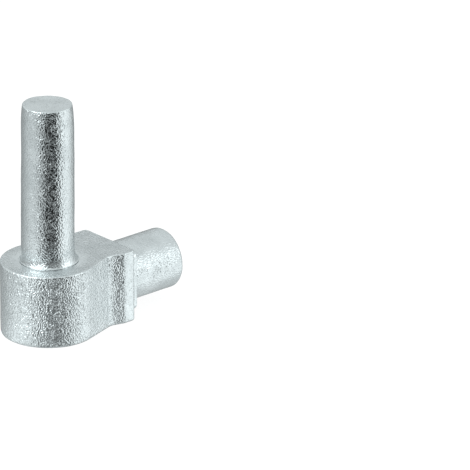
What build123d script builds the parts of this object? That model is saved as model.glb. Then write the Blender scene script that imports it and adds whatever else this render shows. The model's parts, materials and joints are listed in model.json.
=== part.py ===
from build123d import *
import math
import os

os.makedirs("parts", exist_ok=True)

# Gate hinge pin, forged in one piece: an upright pin on a head, and a shank that leaves the head sideways.
# Millimetres. The origin is on the pin's axis at the head's underside, +Z runs up the pin and +X
# runs out along the shank.

# Head: a round boss that narrows to a waist and widens again to a flange, all of one height
head_height = 23.0
boss_radius = 14.75
waist_x = 15.8
waist_width = 19.0
waist_radius = 4.5
flange_width = 23.3
flange_length = 3.4
flange_x = 24.5
flange_blend = 1.7
flange_corner = 1.2
top_edge = 0.5
bottom_edge = 1.2

# Pin: a 16 mm bar that flares into the head and is a little drawn in at its cropped end
pin_radius = 8.0
pin_length = 49.5
foot_rim_radius = 8.9
foot_flare_radius = 3.65
foot_step = 0.35
tip_length = 6.0
tip_draw_in = 0.4
tip_edge = 0.3

# Square neck that keys the part in its plate, and the round shank beyond it
shank_axis_height = 11.7
neck_width = 19.0
neck_length = 2.5
neck_corner = 2.0
shank_radius = 9.4
shank_length = 19.0
shank_end_edge = 1.2

# Blind hole in the shank's end, drilled for an M12 thread
drill_radius = 5.1
drill_depth = 24.0
drill_point_angle = 118.0
countersink_radius = 6.3

# Places that follow from the sizes above
waist_y = waist_width / 2
flange_y = flange_width / 2
flange_start_x = flange_x - flange_length
waist_reach = math.hypot(waist_x, waist_y)
tangent_angle = math.atan2(waist_y, waist_x) + math.acos(boss_radius / waist_reach)
boss_end = (boss_radius * math.cos(tangent_angle), boss_radius * math.sin(tangent_angle))

pin_top = head_height + pin_length
flare_turn = math.acos(1 - (foot_rim_radius - pin_radius) / foot_flare_radius)
rim_top = head_height + foot_step
flare_top = rim_top + foot_flare_radius * math.sin(flare_turn)
tip_start = pin_top - tip_length

neck_end_x = flange_x + neck_length
shank_end_x = neck_end_x + shank_length
countersink_depth = countersink_radius - drill_radius
drill_floor_x = shank_end_x - drill_depth
drill_point_x = drill_floor_x - drill_radius / math.tan(math.radians(drill_point_angle / 2))


with BuildPart() as hinge_pin:
    # The head's outline: boss arc, straight flanks tangent to it, rounded waist, flange
    with BuildSketch() as head_outline:
        with BuildLine():
            sides = Polyline(
                (boss_end[0], -boss_end[1]),
                (waist_x, -waist_y),
                (flange_start_x, -flange_y),
                (flange_x, -flange_y),
                (flange_x, flange_y),
                (flange_start_x, flange_y),
                (waist_x, waist_y),
                boss_end,
            )
            ThreePointArc(sides @ 1, (-boss_radius, 0), sides @ 0)
        make_face()
        fillet(head_outline.vertices().group_by(Axis.X)[1], radius=waist_radius)
        fillet(head_outline.vertices().group_by(Axis.X)[-2], radius=flange_blend)
        fillet(head_outline.vertices().group_by(Axis.X)[-1], radius=flange_corner)
    extrude(amount=head_height)
    fillet(hinge_pin.faces().sort_by(Axis.Z)[-1].edges(), radius=top_edge)
    fillet(hinge_pin.faces().sort_by(Axis.Z)[0].edges(), radius=bottom_edge)

    # The pin, turned about Z from the head's top face to its tip
    with BuildSketch(Plane.XZ):
        with BuildLine():
            rim = Polyline((0, head_height), (foot_rim_radius, head_height), (foot_rim_radius, rim_top))
            flare = RadiusArc((pin_radius, flare_top), rim @ 1, -foot_flare_radius)
            wall = Line((pin_radius, flare_top), (pin_radius, tip_start))
            tip = TangentArc(wall @ 1, (pin_radius - tip_draw_in, pin_top), tangent=wall % 1)
            Polyline(tip @ 1, (0, pin_top), (0, head_height))
        make_face()
    revolve(axis=Axis.Z)
    fillet(hinge_pin.edges().group_by(Axis.Z)[-1], radius=tip_edge)

    # Square neck on the flange's end face
    with BuildSketch(Plane.YZ.offset(flange_x)):
        with Locations((0, shank_axis_height)):
            RectangleRounded(neck_width, neck_width, neck_corner)
    extrude(amount=neck_length)

    # Round shank, with its end edge rounded
    with BuildSketch(Plane.YZ.offset(neck_end_x)):
        with Locations((0, shank_axis_height)):
            Circle(shank_radius)
    extrude(amount=shank_length)
    fillet(hinge_pin.edges().group_by(Axis.X)[-1], radius=shank_end_edge)

    # Drilled and countersunk hole, turned about the shank's axis
    with BuildSketch(Plane.XZ):
        with BuildLine():
            Polyline(
                (shank_end_x, shank_axis_height),
                (shank_end_x, shank_axis_height + countersink_radius),
                (shank_end_x - countersink_depth, shank_axis_height + drill_radius),
                (drill_floor_x, shank_axis_height + drill_radius),
                (drill_point_x, shank_axis_height),
                close=True,
            )
        make_face()
    revolve(axis=Axis((0, 0, shank_axis_height), (1, 0, 0)), mode=Mode.SUBTRACT)

hinge_pin.part.label = "hinge_pin"
export_step(hinge_pin.part, "parts/hinge_pin.step")
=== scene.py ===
import json
import math

import bmesh
import bpy
from mathutils import Matrix, Vector, noise

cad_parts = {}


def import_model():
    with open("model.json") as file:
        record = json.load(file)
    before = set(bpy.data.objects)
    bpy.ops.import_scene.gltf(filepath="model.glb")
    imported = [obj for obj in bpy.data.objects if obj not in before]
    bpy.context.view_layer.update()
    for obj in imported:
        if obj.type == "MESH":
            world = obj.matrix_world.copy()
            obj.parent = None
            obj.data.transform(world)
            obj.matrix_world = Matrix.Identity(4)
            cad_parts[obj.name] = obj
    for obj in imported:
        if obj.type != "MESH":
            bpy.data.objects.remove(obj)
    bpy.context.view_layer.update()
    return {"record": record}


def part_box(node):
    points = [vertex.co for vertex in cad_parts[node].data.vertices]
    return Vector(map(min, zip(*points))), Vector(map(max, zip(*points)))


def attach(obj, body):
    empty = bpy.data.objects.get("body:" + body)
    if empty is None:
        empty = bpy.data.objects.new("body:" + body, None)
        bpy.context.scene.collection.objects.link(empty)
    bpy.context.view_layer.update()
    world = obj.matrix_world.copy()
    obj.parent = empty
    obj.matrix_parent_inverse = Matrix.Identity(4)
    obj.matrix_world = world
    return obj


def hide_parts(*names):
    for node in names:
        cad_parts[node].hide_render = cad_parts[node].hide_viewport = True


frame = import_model()

# Gate hinge pin: a blasted steel forging with bright zinc plate. Metres, in the part's own frame:
# the origin is on the pin's axis at the head's underside, +Z up the pin and +X along the shank.
MM = 0.001
UP = Vector((0, 0, 1))
ALONG = Vector((1, 0, 0))
ACROSS = Vector((0, 1, 0))

# Sizes read from the frame
mounts = {m["name"]: m for m in frame["record"]["mounts"]}
lowest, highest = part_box("hinge_pin")
head_height = mounts["eye_seat"]["pos_m"][2]
boss_radius = -lowest.x
pin_radius = mounts["pin"]["dims"]["r_mm"] * MM
pin_top = highest.z
flange_x = mounts["shoulder"]["pos_m"][0]
shank_radius = mounts["shank"]["dims"]["r_mm"] * MM
shank_height = mounts["shank"]["pos_m"][2]
shank_end = highest.x
drill_radius = mounts["bolt_thread"]["dims"]["r_mm"] * MM

# Head. As the photograph shows, its waist is a little wider, its flange a little longer and its edges a
# little sharper than in the part's source.
waist_x = 15.8 * MM
waist_y = 10.1 * MM
waist_radius = 4.5 * MM
flange_y = 11.65 * MM
flange_length = 4.6 * MM
flange_start = flange_x - flange_length
flange_blend = 1.7 * MM
flange_corner = 1.2 * MM
top_edge = 0.38 * MM
bottom_edge = 0.9 * MM

# Foot of the bar. Its flare is longer and shallower than in the part's source, and ends in a rounded lip.
foot_rim = 8.9 * MM
foot_step = 0.15 * MM
foot_flare = 7.2 * MM
foot_turn = math.radians(25)
foot_lip = 0.4 * MM
foot_lip_turn = math.radians(70)

# Tip of the bar, square neck and shank, as in the part's source, with the neck's end edge broken as well
tip_length = 6.0 * MM
tip_draw_in = 0.4 * MM
tip_edge = 0.3 * MM
neck_half = 9.5 * MM
neck_length = 2.5 * MM
neck_corner = 2.0 * MM
neck_edge = 0.3 * MM
shank_edge = 1.2 * MM

# Drilled hole, as in the part's source, and the bolt thread, whose thin wall lies in a seat cut for it
countersink_radius = 6.3 * MM
drill_depth = 24.0 * MM
drill_point = math.radians(118)
drill_point_room = 4.0 * MM
drill_end = shank_end - drill_depth - drill_point_room
bore_margin = 0.2 * MM
thread_radius = 6.0 * MM
thread_pitch = 1.75 * MM
thread_length = 20.0 * MM
thread_wall = 0.12 * MM
thread_seat_depth = 0.1 * MM
thread_seat = thread_radius + thread_seat_depth
thread_spare_turns = 3

# How finely the skin is divided, so that the forging's unevenness has points to move
skin_step = 0.45 * MM
round_steps = 120
boss_steps = 240
overlap = 1.0 * MM
sharp_angle = math.radians(32)

# Steps round each rounding
least_corner_steps = 4
top_edge_steps = 5
bottom_edge_steps = 6
foot_lip_steps = 4
foot_flare_steps = 8
tip_edge_steps = 4
neck_corner_steps = 8
neck_edge_steps = 3
shank_edge_steps = 6
thread_steps = 72

# How near points are to be one point, and how near a face is to upright or to facing straight one way
merge_gap = 0.001 * MM
thread_merge_gap = 0.01 * MM
cut_gap = 0.002 * MM
nearly_upright = 0.01
nearly_straight = 0.999

# The forging's unevenness: wave length and rise of each scale
skin_waves = ((9 * MM, 0.08 * MM), (3 * MM, 0.03 * MM), (1.2 * MM, 0.02 * MM))

# The cropped tip: it leans and rises a little, and its rim is torn
tip_lean_start = pin_top - 9 * MM
tip_lean = 0.16 * MM
tip_rise = 0.38 * MM
tear_height = 0.9 * MM
tear_width = 1.0 * MM
tear_wave = 2.2 * MM
tear_rise = 0.3 * MM
tear_place = Vector((0.4, 0.0, 0.0)) * MM

# The bar's lean and taper about its middle, and the draft of the flanks beside the waist
bar_reach = foot_rim + 1.0 * MM
bar_middle = 51 * MM
bar_lean = 0.0096
bar_taper = 0.0005 / MM
flank_middle = 13 * MM
flank_reach = 7 * MM
flank_draft = 0.035

# The foot's height, how far it stands off the bar's axis, and the ring that the die pressed in round it
foot_height = 4.5 * MM
foot_offset = 0.12 * MM
groove_width = 0.3 * MM
groove_depth = 0.25 * MM
groove_rise = 0.02 * MM
groove_shift = 0.24 * MM

# How strongly the shot dented each place, as a share: the head fully, the bar and the shank less, the
# flange's sides by half, and least the rounded edges, the cropped end and the flare at the foot
head_share = 1.0
bar_share = 0.58
flange_share = 0.5
edge_share = 0.35
tip_share = 0.35
foot_share = 0.25
foot_spread = 5.0 * MM
share_fade = 1.0 * MM

# The photograph's view: the aim point shows at (aim_across, aim_down) in a picture of picture_size pixels.
# The lens and the sensor are in millimetres, and what the camera sees lies between two distances in metres.
picture_size = 470
camera_turn = math.radians(41.798)
camera_drop = math.radians(21.73)
camera_roll = math.radians(0.176)
camera_distance = 1614.2 * MM
lens = 411.72
aim = Vector((10, 0, 48)) * MM
aim_across = 73.35
aim_down = 174.04
sensor_width = 36
nearest_seen = 0.1
farthest_seen = 20
picture_right = Vector((math.cos(camera_turn), -math.sin(camera_turn), 0))
away_from_camera = Vector((math.sin(camera_turn), math.cos(camera_turn), 0))

# The studio as the metal mirrors it: grey levels by degrees round the part, 0 towards the camera and 90 to
# the picture's right, from straight under the part up to the ceiling
under = (
    (-180, 0.5),
    (-90, 0.7),
    (-40, 0.55),
    (-10, 0.42),
    (45, 0.42),
    (80, 0.6),
    (110, 0.68),
    (150, 0.64),
)
below = (
    (-180, 0.33),
    (-152, 0.38),
    (-126, 0.48),
    (-109, 0.6),
    (-95, 0.74),
    (-66, 0.84),
    (-50, 0.7),
    (-34, 0.6),
    (-20, 0.3),
    (-8, 0.0),
    (43, 0.0),
    (49, 0.1),
    (56, 0.42),
    (62, 0.92),
    (68, 1.28),
    (82, 1.26),
    (100, 1.08),
    (114, 0.94),
    (128, 0.82),
    (140, 0.5),
    (152, 0.36),
    (170, 0.32),
)
horizon = (
    (-180, 0.4),
    (-90, 0.5),
    (-50, 0.44),
    (-20, 0.4),
    (0, 0.4),
    (45, 0.4),
    (66, 0.64),
    (82, 0.92),
    (100, 0.92),
    (130, 0.56),
)
walls = (
    (-180, 0.79),
    (-120, 0.8),
    (-90, 0.9),
    (-66, 1.6),
    (-50, 2.4),
    (-28, 2.4),
    (-15, 1.0),
    (0, 0.3),
    (14, 0.2),
    (42, 0.3),
    (56, 0.8),
    (70, 1.5),
    (88, 1.4),
    (98, 1.1),
    (120, 0.93),
    (140, 0.82),
    (158, 0.72),
)
upper_walls = (
    (-180, 0.79),
    (-120, 0.9),
    (-90, 1.4),
    (-50, 2.4),
    (-28, 2.4),
    (0, 1.0),
    (30, 0.9),
    (56, 0.8),
    (76, 0.86),
    (96, 0.82),
    (120, 0.86),
    (158, 0.7),
)
ceiling = ((-180, 0.9),)

# Heights in the room, as the sine of the angle above the horizon, where one level gives way to the next
zones = (
    (-0.8, -0.54, below),
    (-0.16, -0.06, horizon),
    (0.0, 0.2, walls),
    (0.4, 0.56, upper_walls),
    (0.74, 0.92, ceiling),
)
room_light = "#F6FDFE"

# The table as the metal mirrors it, a painted sheen that glows only in reflections: the sheen by direction,
# how much of it shows near the part, from where to where that fades out, and how near the part a painted
# contact shadow darkens it
sheen = (
    (-180, 0.4),
    (-126, 1.0),
    (-93, 1.8),
    (-70, 3.0),
    (-50, 4.6),
    (-30, 4.8),
    (-8, 1.6),
    (20, 0.9),
    (44, 1.6),
    (80, 2.4),
    (128, 1.8),
    (150, 0.2),
)
sheen_share = 0.11
near_reach = 35 * MM
far_reach = 95 * MM
contact_shadow_reach = 2.5 * MM

# The table as the camera sees it: its size, how much of the lamps' light it takes, and its deepest shadow
floor_half = 3.0
shadow_share = 0.15
deepest_shadow = 0.08

# The lamps: name, place, size and power
softboxes = (
    ("left_softbox", (-0.9, 0.2, 0.7), 0.6, 1.2),
    ("right_softbox", (0.75, -0.82, 0.45), 0.9, 0.6),
)

# The finish: sizes and depths of the dents, swells and scratches, and of the patches that differ in tone
zinc_light = "#F0F4F5"
zinc_dark = "#C4C9CA"
dent_size = 0.45 * MM
dent_depth = 0.3 * MM
swell_size = 1.6 * MM
swell_depth = 0.1 * MM
patch_size = 5 * MM
rough_low = 0.08
rough_high = 0.13
rough_starts = 0.35
rough_ends = 0.65

# A scratch runs where one noise passes its middle, as wide and deep as these shares of its range, and only
# in the places where a second noise is high
scratch_bend = 2.6 * MM
scratch_middle = 0.5
scratch_width = 0.03
scratch_depth = 0.3
scratch_patch = 1.7 * MM
scratches_start = 0.56
scratches_full = 0.62


def linear(hex_colour):
    """An sRGB hex colour as linear red, green, blue and alpha."""
    parts = [int(hex_colour[i : i + 2], 16) / 255 for i in (1, 3, 5)]
    return [c / 12.92 if c <= 0.04045 else ((c + 0.055) / 1.055) ** 2.4 for c in parts] + [1.0]


def add_node(tree, kind, settings=None, **links):
    """A shader node. Settings are its own properties; links are socket values or other nodes' outputs."""
    node = tree.nodes.new(kind)
    for name, value in (settings or {}).items():
        setattr(node, name, value)
    for name, value in links.items():
        socket = next(s for s in node.inputs if name in (s.identifier, s.name.replace(" ", "_")))
        if isinstance(value, bpy.types.NodeSocket):
            tree.links.new(value, socket)
        else:
            socket.default_value = value
    return node


def result(node):
    """The first output that the node's settings leave switched on."""
    return next(s for s in node.outputs if s.enabled)


def lit(grey):
    """A grey in the room's cool light."""
    return [grey * part for part in linear(room_light)[:3]] + [1.0]


# Modelling


def arc(bm, vert, centre, axis, angle, steps):
    """Draws an arc on from a vertex and returns the vertex at its far end."""
    made = bmesh.ops.spin(bm, geom=[vert], cent=centre, axis=axis, angle=angle, steps=steps)
    return made["geom_last"][0]


def line(bm, vert, *points, step=skin_step):
    """Draws straight lines on from a vertex, divided by the step, and returns the last vertex."""
    for point in points:
        start, end = vert.co.copy(), Vector(point)
        count = max(1, round((end - start).length / step))
        for i in range(1, count + 1):
            new = bm.verts.new(start.lerp(end, i / count))
            bm.edges.new((vert, new))
            vert = new
    return vert


def turn(bm, height, axis):
    """Turns the drawn profile into a closed round body about an axis at a height."""
    drawn = bm.verts[:] + bm.edges[:]
    bmesh.ops.spin(
        bm, geom=drawn, cent=(0, 0, height), axis=axis, angle=math.tau, steps=round_steps, use_merge=True
    )
    bmesh.ops.remove_doubles(bm, verts=bm.verts, dist=merge_gap)
    bmesh.ops.recalc_face_normals(bm, faces=bm.faces)


def divide(bm, wanted, direction):
    """Cuts the faces that are wanted by planes a skin's step apart, square to a direction."""
    faces = [f for f in bm.faces if wanted(f)]
    places = [v.co.dot(direction) for f in faces for v in f.verts]
    start, end = min(places), max(places)
    count = max(1, round((end - start) / skin_step))
    for i in range(1, count):
        geom = faces + list({e for f in faces for e in f.edges}) + list({v for f in faces for v in f.verts})
        at = direction * (start + (end - start) * i / count)
        cut = bmesh.ops.bisect_plane(bm, geom=geom, dist=cut_gap, plane_co=at, plane_no=direction)
        faces = [g for g in cut["geom"] if isinstance(g, bmesh.types.BMFace)]


def across(face):
    """How wide a face is, seen from above."""
    return max((one.co.xy - other.co.xy).length for one in face.verts for other in face.verts)


def bevel(bm, geom, offset, segments, affect="EDGES"):
    """Rounds edges or corners."""
    bmesh.ops.bevel(bm, geom=geom, offset=offset, segments=segments, affect=affect, profile=0.5, material=-1)


def to_object(bm, name):
    """Makes the drawn body an object of the scene."""
    mesh = bpy.data.meshes.new(name)
    bm.to_mesh(mesh)
    bm.free()
    piece = bpy.data.objects.new(name, mesh)
    bpy.context.scene.collection.objects.link(piece)
    return piece


def head():
    """The forged head: boss arc, straight flanks tangent to it, rounded waist and flange, of one height."""
    reach = math.hypot(waist_x, waist_y)
    tangent = math.atan2(waist_y, waist_x) + math.acos(boss_radius / reach)
    bm = bmesh.new()
    first = bm.verts.new((boss_radius * math.cos(tangent), boss_radius * math.sin(tangent), 0))
    last = arc(bm, first, (0, 0, 0), UP, math.tau - 2 * tangent, boss_steps)
    near = [(waist_x, -waist_y, 0), (flange_start, -flange_y, 0), (flange_x, -flange_y, 0)]
    far = [(x, -y, z) for x, y, z in reversed(near)]
    corners = [bm.verts.new(point) for point in near + far]
    for start, end in zip([last] + corners, corners + [first]):
        bm.edges.new((start, end))
    radii = [waist_radius, flange_blend, flange_corner]
    for corner, radius in zip(corners, radii + radii[::-1]):
        before, after = [e.other_vert(corner).co - corner.co for e in corner.link_edges]
        bend = math.pi - before.angle(after)
        steps = max(least_corner_steps, round(radius * bend / skin_step))
        bevel(bm, [corner], radius * math.tan(bend / 2), steps, "VERTICES")
    base = bmesh.ops.contextual_create(bm, geom=bm.edges[:])["faces"][0]
    grown = bmesh.ops.extrude_face_region(bm, geom=[base], use_keep_orig=True)["geom"]
    top = next(g for g in grown if isinstance(g, bmesh.types.BMFace))
    bmesh.ops.translate(bm, verts=top.verts, vec=UP * head_height)
    bmesh.ops.recalc_face_normals(bm, faces=bm.faces)
    bevel(bm, list(top.edges), top_edge, top_edge_steps)
    bevel(bm, list(base.edges), bottom_edge, bottom_edge_steps)
    divide(bm, lambda f: abs(f.normal.z) < nearly_upright, UP)
    divide(bm, lambda f: abs(f.normal.z) < nearly_upright and across(f) > 2 * skin_step, ALONG)
    divide(bm, lambda f: f.normal.x > nearly_straight, ACROSS)
    divide(bm, lambda f: abs(f.normal.z) > nearly_straight, ALONG)
    divide(bm, lambda f: abs(f.normal.z) > nearly_straight, ACROSS)
    return to_object(bm, "head")


def pin():
    """The upright bar, flared into the head at its foot and drawn in at its cropped tip."""
    rim_top = head_height + foot_step
    bm = bmesh.new()
    start = bm.verts.new((0, 0, head_height - overlap))
    rim = line(bm, start, (foot_rim, 0, head_height - overlap), (foot_rim, 0, rim_top))
    lip_centre = rim.co + foot_lip * Vector((math.cos(foot_lip_turn), 0, math.sin(foot_lip_turn)))
    lip = arc(bm, rim, lip_centre, ACROSS, foot_lip_turn - foot_turn, foot_lip_steps)
    flare_centre = lip.co + foot_flare * Vector((math.cos(foot_turn), 0, math.sin(foot_turn)))
    flare = arc(bm, lip, flare_centre, ACROSS, foot_turn, foot_flare_steps)
    wall = line(bm, flare, (pin_radius, 0, flare.co.z + foot_step))
    tip = line(bm, wall, (pin_radius, 0, pin_top - tip_length))
    count = round(tip_length / skin_step)
    for share in [i / count for i in range(1, count + 1)]:
        place = pin_top - tip_length + share * (tip_length - tip_edge)
        tip = line(bm, tip, (pin_radius - tip_draw_in * share**2, 0, place))
    edge = arc(bm, tip, (tip.co.x - tip_edge, 0, tip.co.z), -ACROSS, math.pi / 2, tip_edge_steps)
    line(bm, edge, (0, 0, pin_top))
    turn(bm, 0, UP)
    return to_object(bm, "pin")


def foot_groove():
    """What the die's edge pressed in round the foot: a fine ring under the rim, faint towards the camera."""
    inner = foot_rim - groove_width / 2
    outer = foot_rim + groove_width
    bottom, top = head_height - groove_depth, head_height + groove_rise
    bm = bmesh.new()
    corner = bm.verts.new((inner, 0, bottom))
    last = line(bm, corner, (outer, 0, bottom), (outer, 0, top), (inner, 0, top))
    bm.edges.new((last, corner))
    turn(bm, 0, UP)
    bmesh.ops.translate(bm, verts=bm.verts, vec=away_from_camera * groove_shift)
    return to_object(bm, "foot_groove")


def neck():
    """The square neck that keys the part in its plate."""
    length = neck_length + overlap
    bm = bmesh.new()
    bmesh.ops.create_cube(bm, size=1)
    bmesh.ops.scale(bm, vec=(length, 2 * neck_half, 2 * neck_half), verts=bm.verts)
    bmesh.ops.translate(bm, vec=(flange_x + neck_length - length / 2, 0, shank_height), verts=bm.verts)
    long_edges = [e for e in bm.edges if abs((e.verts[0].co - e.verts[1].co).x) > length / 2]
    bevel(bm, long_edges, neck_corner, neck_corner_steps)
    end = [e for e in bm.edges if min(v.co.x for v in e.verts) > flange_x + neck_length / 2]
    bevel(bm, end, neck_edge, neck_edge_steps)
    for direction in (ALONG, ACROSS, UP):
        divide(bm, lambda f: f.calc_area() > skin_step**2, direction)
    return to_object(bm, "neck")


def shank():
    """The round shank, with its end edge rounded."""
    bm = bmesh.new()
    start = bm.verts.new((flange_x, 0, shank_height))
    side = shank_height + shank_radius
    wall = line(bm, start, (flange_x, 0, side), (shank_end - shank_edge, 0, side))
    edge_centre = (shank_end - shank_edge, 0, side - shank_edge)
    edge = arc(bm, wall, edge_centre, ACROSS, math.pi / 2, shank_edge_steps)
    line(bm, edge, (shank_end, 0, shank_height))
    turn(bm, shank_height, ALONG)
    return to_object(bm, "shank")


def drill():
    """What the drill takes out: the countersink, the thread's seat, the plain wall and the point."""
    mouth = shank_end + overlap
    seat_start = shank_end - (countersink_radius - thread_seat)
    point = shank_end - drill_depth - drill_radius / math.tan(drill_point / 2)
    bm = bmesh.new()
    start = bm.verts.new((mouth, 0, shank_height))
    line(
        bm,
        start,
        (mouth, 0, shank_height + countersink_radius + overlap),
        (seat_start, 0, shank_height + thread_seat),
        (shank_end - thread_length, 0, shank_height + thread_seat),
        (shank_end - thread_length, 0, shank_height + drill_radius),
        (shank_end - drill_depth, 0, shank_height + drill_radius),
        (point, 0, shank_height),
    )
    turn(bm, shank_height, ALONG)
    return to_object(bm, "drill")


def combine(piece, other, how):
    """Joins or cuts one body with another and takes the other away."""
    change = piece.modifiers.new("combine", "BOOLEAN")
    change.operation = how
    change.solver = "EXACT"
    change.object = other
    bpy.context.view_layer.update()
    mesh = bpy.data.meshes.new_from_object(piece.evaluated_get(bpy.context.evaluated_depsgraph_get()))
    piece.modifiers.clear()
    piece.data = mesh
    bpy.data.objects.remove(other)


def smooth_step(share):
    """Goes smoothly from 0 to 1 as the share does, and stays there."""
    share = min(1.0, max(0.0, share))
    return share * share * (3 - 2 * share)


def in_bore(place):
    """Whether a place is in the drilled hole or on its rim, which stay exact."""
    from_axis = math.hypot(place.y, place.z - shank_height)
    return place.x > drill_end and from_axis < countersink_radius + bore_margin


def unevenness(place):
    """How far the forging stands out at a place: broad swells, die wear, and the blasted skin."""
    total = 0.0
    for wave, rise in skin_waves:
        total += rise * noise.noise(place / wave)
    return total


def cropped_end(place):
    """How the shear that cropped the bar left its end: leaning a little, and torn along its rim."""
    up_tip = smooth_step((place.z - tip_lean_start) / (pin_top - tip_lean_start))
    at_top = smooth_step(1 - (pin_top - place.z) / tear_height)
    at_rim = smooth_step(1 - (pin_radius - math.hypot(place.x, place.y)) / tear_width)
    tear = tear_rise * at_top * at_rim * noise.noise((place + tear_place) / tear_wave)
    return picture_right * -tip_lean * up_tip + UP * (tip_rise * up_tip + tear)


def bar_shape(place):
    """How the drawn bar leans and tapers a little along its length."""
    above = place.z - bar_middle
    return picture_right * bar_lean * above - Vector((place.x, place.y, 0)) * bar_taper * above


def flank_shape(place):
    """The draft of the flanks beside the waist: they stand out at the bottom and back at the top."""
    beside = smooth_step(1 - abs(place.x - flank_middle) / flank_reach)
    return ACROSS * place.y * flank_draft * beside * (1 - 2 * place.z / head_height)


def dented(place, normal):
    """How strongly the shot has dented the skin at a place, from 0 in the drilled hole to 1."""
    from_axis = math.hypot(place.x, place.y)
    upward = smooth_step(normal.z)
    if in_bore(place):
        return 0.0
    if place.x > flange_x + neck_length - neck_edge:
        return bar_share
    if from_axis > foot_rim + groove_width:
        top = foot_share + (head_share - foot_share) * smooth_step((from_axis - foot_rim) / foot_spread)
        side = head_share - (head_share - flange_share) * smooth_step((place.x - flange_start) / share_fade)
        # 1 half way round the top edge, 0 on the faces that it joins
        rounding = 4 * upward * (1 - upward)
        return (side + (top - side) * upward) * (1 - (1 - edge_share) * rounding)
    bar = foot_share + (bar_share - foot_share) * smooth_step((place.z - head_height) / foot_height)
    return bar - (bar - tip_share) * upward * smooth_step((place.z - pin_top + share_fade) / share_fade)


def forged_skin(piece):
    """Gives the exact form the unevenness of a forging and of a bar that was cropped to length."""
    bm = bmesh.new()
    bm.from_mesh(piece.data)
    dents = bm.verts.layers.float.new("dented")
    for edge in bm.edges:
        edge.smooth = len(edge.link_faces) == 2 and edge.calc_face_angle() < sharp_angle
    for face in bm.faces:
        face.smooth = True
    moves = {}
    for vert in bm.verts:
        place = vert.co
        vert[dents] = dented(place, vert.normal)
        if in_bore(place):
            continue
        move = vert.normal * unevenness(place)
        if math.hypot(place.x, place.y) < bar_reach and place.z > head_height - overlap / 2:
            foot = 1 - smooth_step((place.z - head_height) / foot_height)
            move += picture_right * foot_offset * foot + bar_shape(place) * (1 - foot) + cropped_end(place)
        elif place.z < head_height + foot_step / 2:
            move += flank_shape(place)
        moves[vert] = move
    for vert, move in moves.items():
        vert.co += move
    bm.to_mesh(piece.data)
    bm.free()


def forging():
    """The whole part as one body."""
    piece = head()
    for other in (pin(), neck(), shank()):
        combine(piece, other, "UNION")
    for other in (foot_groove(), drill()):
        combine(piece, other, "DIFFERENCE")
    forged_skin(piece)
    piece.name = "forging"
    return piece


def bolt_thread():
    """The thread in the shank's end: one turn of its profile, carried a pitch along, makes the whole helix.
    Its crests are a quarter of the pitch wide and its roots an eighth, as in any metric nut."""
    start, end = shank_end - thread_length, shank_end - (countersink_radius - thread_seat)
    crest, root = thread_pitch / 4, thread_pitch / 8
    flank = (thread_pitch - crest - root) / 2
    bm = bmesh.new()
    last = bm.verts.new((start - thread_pitch, 0, shank_height + drill_radius))
    for _ in range(round((end - start) / thread_pitch) + thread_spare_turns):
        x = last.co.x
        last = line(
            bm,
            last,
            (x + crest, 0, shank_height + drill_radius),
            (x + crest + flank, 0, shank_height + thread_radius),
            (x + crest + flank + root, 0, shank_height + thread_radius),
            (x + thread_pitch, 0, shank_height + drill_radius),
            step=thread_pitch,
        )
    bmesh.ops.spin(
        bm,
        geom=bm.verts[:] + bm.edges[:],
        cent=(0, 0, shank_height),
        axis=ALONG,
        angle=math.tau,
        dvec=ALONG * thread_pitch / thread_steps,
        steps=thread_steps,
    )
    bmesh.ops.remove_doubles(bm, verts=bm.verts, dist=thread_merge_gap)
    for x, side in ((start, -1), (end, 1)):
        geom = bm.verts[:] + bm.edges[:] + bm.faces[:]
        bmesh.ops.bisect_plane(
            bm, geom=geom, dist=merge_gap, plane_co=(x, 0, 0), plane_no=ALONG * side, clear_outer=True
        )
    for vert in bm.verts:
        out = Vector((0, vert.co.y, vert.co.z - shank_height))
        cone = countersink_radius - (shank_end - vert.co.x)
        if out.length < cone:
            vert.co += out.normalized() * (cone - out.length)
    bmesh.ops.recalc_face_normals(bm, faces=bm.faces)
    face = bm.faces[:][0]
    middle = face.calc_center_median()
    if face.normal.dot(Vector((0, -middle.y, shank_height - middle.z))) < 0:
        bmesh.ops.reverse_faces(bm, faces=bm.faces)
    piece = to_object(bm, "bolt_thread")
    wall = piece.modifiers.new("wall", "SOLIDIFY")
    wall.thickness = thread_wall
    wall.offset = -1
    return piece


# Camera


def camera():
    """The photograph's view: from the front left and above, through a long lens."""
    data = bpy.data.cameras.new("camera")
    data.sensor_width = sensor_width
    data.lens = lens
    data.clip_start, data.clip_end = nearest_seen, farthest_seen
    turned = Matrix.Rotation(-camera_turn, 4, "Z") @ Matrix.Rotation(math.pi / 2 - camera_drop, 4, "X")
    turned = turned @ Matrix.Rotation(camera_roll, 4, "Z")
    right, up, back = [turned.col[i].to_3d() for i in range(3)]
    per_pixel = camera_distance / (lens / sensor_width * picture_size)
    middle = picture_size / 2
    centre = aim + (right * (middle - aim_across) + up * (aim_down - middle)) * per_pixel
    view = bpy.data.objects.new("camera", data)
    bpy.context.scene.collection.objects.link(view)
    view.matrix_world = Matrix.Translation(centre + back * camera_distance) @ turned
    bpy.context.scene.camera = view


# Stage


def facing(tree, coordinate):
    """Coordinates turned about Z so that the way to the camera is +X."""
    texture = add_node(tree, "ShaderNodeTexCoord")
    turn_z = math.pi / 2 + camera_turn
    turned = add_node(
        tree, "ShaderNodeMapping", Vector=texture.outputs[coordinate], Rotation=(0, 0, turn_z)
    )
    return result(turned)


def around(tree, vector, levels):
    """Grey levels by the direction round the part, in the room's cool light."""
    angle = add_node(tree, "ShaderNodeTexGradient", {"gradient_type": "RADIAL"}, Vector=vector)
    ramp = add_node(tree, "ShaderNodeValToRGB", Fac=angle.outputs["Fac"])
    stops = ramp.color_ramp.elements
    while len(stops) > 1:
        stops.remove(stops[-1])
    for i, (degrees, grey) in enumerate(levels + ((180, levels[0][1]),)):
        place = 0.5 + degrees / 360
        stop = stops[0] if i == 0 else stops.new(place)
        stop.position = place
        stop.color = lit(grey)
    return result(ramp)


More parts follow.
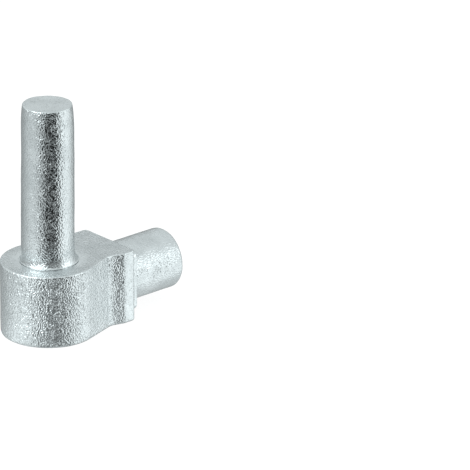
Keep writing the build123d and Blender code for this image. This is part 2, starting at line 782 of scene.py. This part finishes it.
def world():
    """White to the camera. To the metal, a room of grey levels: straight under the part, below the table's
    top, the horizon, the walls, the upper walls and the lit ceiling."""
    made = bpy.data.worlds.new("studio")
    bpy.context.scene.world = made
    made.use_nodes = True
    tree = made.node_tree
    tree.nodes.clear()
    vector = facing(tree, "Generated")
    height = add_node(tree, "ShaderNodeSeparateXYZ", Vector=vector).outputs["Z"]
    level = around(tree, vector, under)
    for start, end, levels in zones:
        share = add_node(tree, "ShaderNodeMapRange", Value=height, From_Min=start, From_Max=end)
        mix = add_node(
            tree,
            "ShaderNodeMix",
            {"data_type": "RGBA"},
            Factor_Float=result(share),
            A_Color=level,
            B_Color=around(tree, vector, levels),
        )
        level = result(mix)
    room = add_node(tree, "ShaderNodeBackground", Color=level)
    white = add_node(tree, "ShaderNodeBackground", Color=(1, 1, 1, 1))
    path = add_node(tree, "ShaderNodeLightPath")
    seen = add_node(
        tree,
        "ShaderNodeMixShader",
        Fac=path.outputs["Is Camera Ray"],
        Shader=result(room),
        Shader_001=result(white),
    )
    add_node(tree, "ShaderNodeOutputWorld", Surface=result(seen))


def floor():
    """A white table. To the camera it is white with the part's soft shadow, and clear from below. To the
    metal it is a clear sheet with a painted white sheen near the part, darkened close to the part by a
    painted contact shadow."""
    bm = bmesh.new()
    bmesh.ops.create_grid(bm, x_segments=1, y_segments=1, size=floor_half)
    piece = to_object(bm, "floor")
    material = bpy.data.materials.new("white_table")
    material.use_nodes = True
    tree = material.node_tree
    tree.nodes.clear()
    vector = facing(tree, "Object")
    reach = add_node(tree, "ShaderNodeVectorMath", {"operation": "LENGTH"}, Vector=vector)
    near = add_node(
        tree,
        "ShaderNodeMapRange",
        Value=result(reach),
        From_Min=near_reach,
        From_Max=far_reach,
        To_Min=sheen_share,
        To_Max=0.0,
    )
    # Painted contact shadow: ambient occlusion darkens the painted sheen close to the part
    shaded = add_node(
        tree, "ShaderNodeAmbientOcclusion", Color=around(tree, vector, sheen), Distance=contact_shadow_reach
    )
    # Painted sheen: a glow that only the metal's reflections see, not a lamp
    glow = add_node(tree, "ShaderNodeEmission", Color=result(shaded))
    clear = add_node(tree, "ShaderNodeBsdfTransparent")
    sheet = add_node(
        tree, "ShaderNodeMixShader", Fac=result(near), Shader=result(clear), Shader_001=result(glow)
    )
    paper = add_node(tree, "ShaderNodeBsdfDiffuse", Color=(shadow_share, shadow_share, shadow_share, 1))
    white = 1 - deepest_shadow
    base = add_node(tree, "ShaderNodeEmission", Color=(white, white, white, 1))
    table = add_node(tree, "ShaderNodeAddShader", Shader=result(paper), Shader_001=result(base))
    path = add_node(tree, "ShaderNodeLightPath")
    seen = add_node(
        tree,
        "ShaderNodeMixShader",
        Fac=path.outputs["Is Glossy Ray"],
        Shader=result(table),
        Shader_001=result(sheet),
    )
    side = add_node(tree, "ShaderNodeNewGeometry")
    from_below = add_node(
        tree,
        "ShaderNodeMixShader",
        Fac=side.outputs["Backfacing"],
        Shader=result(seen),
        Shader_001=result(clear),
    )
    add_node(tree, "ShaderNodeOutputMaterial", Surface=result(from_below))
    piece.data.materials.append(material)


def softbox(name, place, size, power):
    """A square lamp that faces the part."""
    data = bpy.data.lights.new(name, "AREA")
    data.size = size
    data.energy = power
    data.color = lit(1.0)[:3]
    lamp = bpy.data.objects.new(name, data)
    bpy.context.scene.collection.objects.link(lamp)
    lamp.location = place
    lamp.rotation_euler = (aim - Vector(place)).to_track_quat("-Z", "Y").to_euler()


# Finish


def zinc_on_blasted_steel():
    """Bright zinc plate over a shot-blasted forging: a cool pale metal, broken into sparkling grains by the
    dents that the shot left, with low swells, short bent scratches and broad patches that are a little paler
    and softer. The dents are drawn coarser than the shot's own, so that they show."""
    material = bpy.data.materials.new("zinc_on_blasted_steel")
    material.use_nodes = True
    tree = material.node_tree
    tree.nodes.clear()
    metres = add_node(tree, "ShaderNodeTexCoord").outputs["Object"]
    place = result(add_node(tree, "ShaderNodeMapping", Vector=metres, Scale=(1 / MM, 1 / MM, 1 / MM)))

    # Each noise: the size of its grains, and how many finer ones are laid over them
    noises = {
        "scratch bends": (scratch_bend, 1.0),
        "scratch patches": (scratch_patch, 0.0),
        "dents": (dent_size, 0.0),
        "swells": (swell_size, 2.0),
        "patches": (patch_size, 3.0),
    }
    grain = {}
    for name, (size, finer) in noises.items():
        noise_node = add_node(tree, "ShaderNodeTexNoise", Vector=place, Scale=MM / size, Detail=finer)
        grain[name] = result(noise_node)

    # Scratches: a line in the first noise, kept where the second is high, and pressed into the dents
    beside_line = add_node(
        tree,
        "ShaderNodeMath",
        {"operation": "SUBTRACT"},
        Value=grain["scratch bends"],
        Value_001=scratch_middle,
    )
    from_line = add_node(tree, "ShaderNodeMath", {"operation": "ABSOLUTE"}, Value=result(beside_line))
    on_line = add_node(
        tree,
        "ShaderNodeMapRange",
        Value=result(from_line),
        From_Min=0.0,
        From_Max=scratch_width,
        To_Min=1.0,
        To_Max=0.0,
    )
    in_patch = add_node(
        tree,
        "ShaderNodeMapRange",
        Value=grain["scratch patches"],
        From_Min=scratches_start,
        From_Max=scratches_full,
    )
    scratched = add_node(
        tree,
        "ShaderNodeMath",
        {"operation": "MULTIPLY"},
        Value=result(on_line),
        Value_001=result(in_patch),
    )
    dents = add_node(
        tree,
        "ShaderNodeMath",
        {"operation": "MULTIPLY_ADD"},
        Value=result(scratched),
        Value_001=-scratch_depth,
        Value_002=grain["dents"],
    )

    # Relief: the swells, and the dents on them
    dented_share = add_node(tree, "ShaderNodeAttribute", {"attribute_name": "dented"}).outputs["Fac"]
    swells = add_node(
        tree, "ShaderNodeBump", Height=grain["swells"], Strength=dented_share, Distance=swell_depth
    )
    relief = add_node(
        tree,
        "ShaderNodeBump",
        Height=result(dents),
        Strength=dented_share,
        Distance=dent_depth,
        Normal=result(swells),
    )

    tone = add_node(
        tree,
        "ShaderNodeMix",
        {"data_type": "RGBA"},
        Factor_Float=grain["patches"],
        A_Color=linear(zinc_dark),
        B_Color=linear(zinc_light),
    )
    softness = add_node(
        tree,
        "ShaderNodeMapRange",
        Value=grain["patches"],
        From_Min=rough_starts,
        From_Max=rough_ends,
        To_Min=rough_low,
        To_Max=rough_high,
    )
    shader = add_node(
        tree,
        "ShaderNodeBsdfPrincipled",
        Base_Color=result(tone),
        Metallic=1.0,
        Roughness=result(softness),
        Normal=result(relief),
    )
    add_node(tree, "ShaderNodeOutputMaterial", Surface=result(shader))
    return material


# Making

zinc = zinc_on_blasted_steel()
body = forging()
thread = bolt_thread()
for piece in (body, thread):
    piece.data.materials.append(zinc)
    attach(piece, "root")
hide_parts("hinge_pin")

camera()
world()
floor()
for lamp in softboxes:
    softbox(*lamp)

bpy.context.scene.view_settings.view_transform = "Standard"
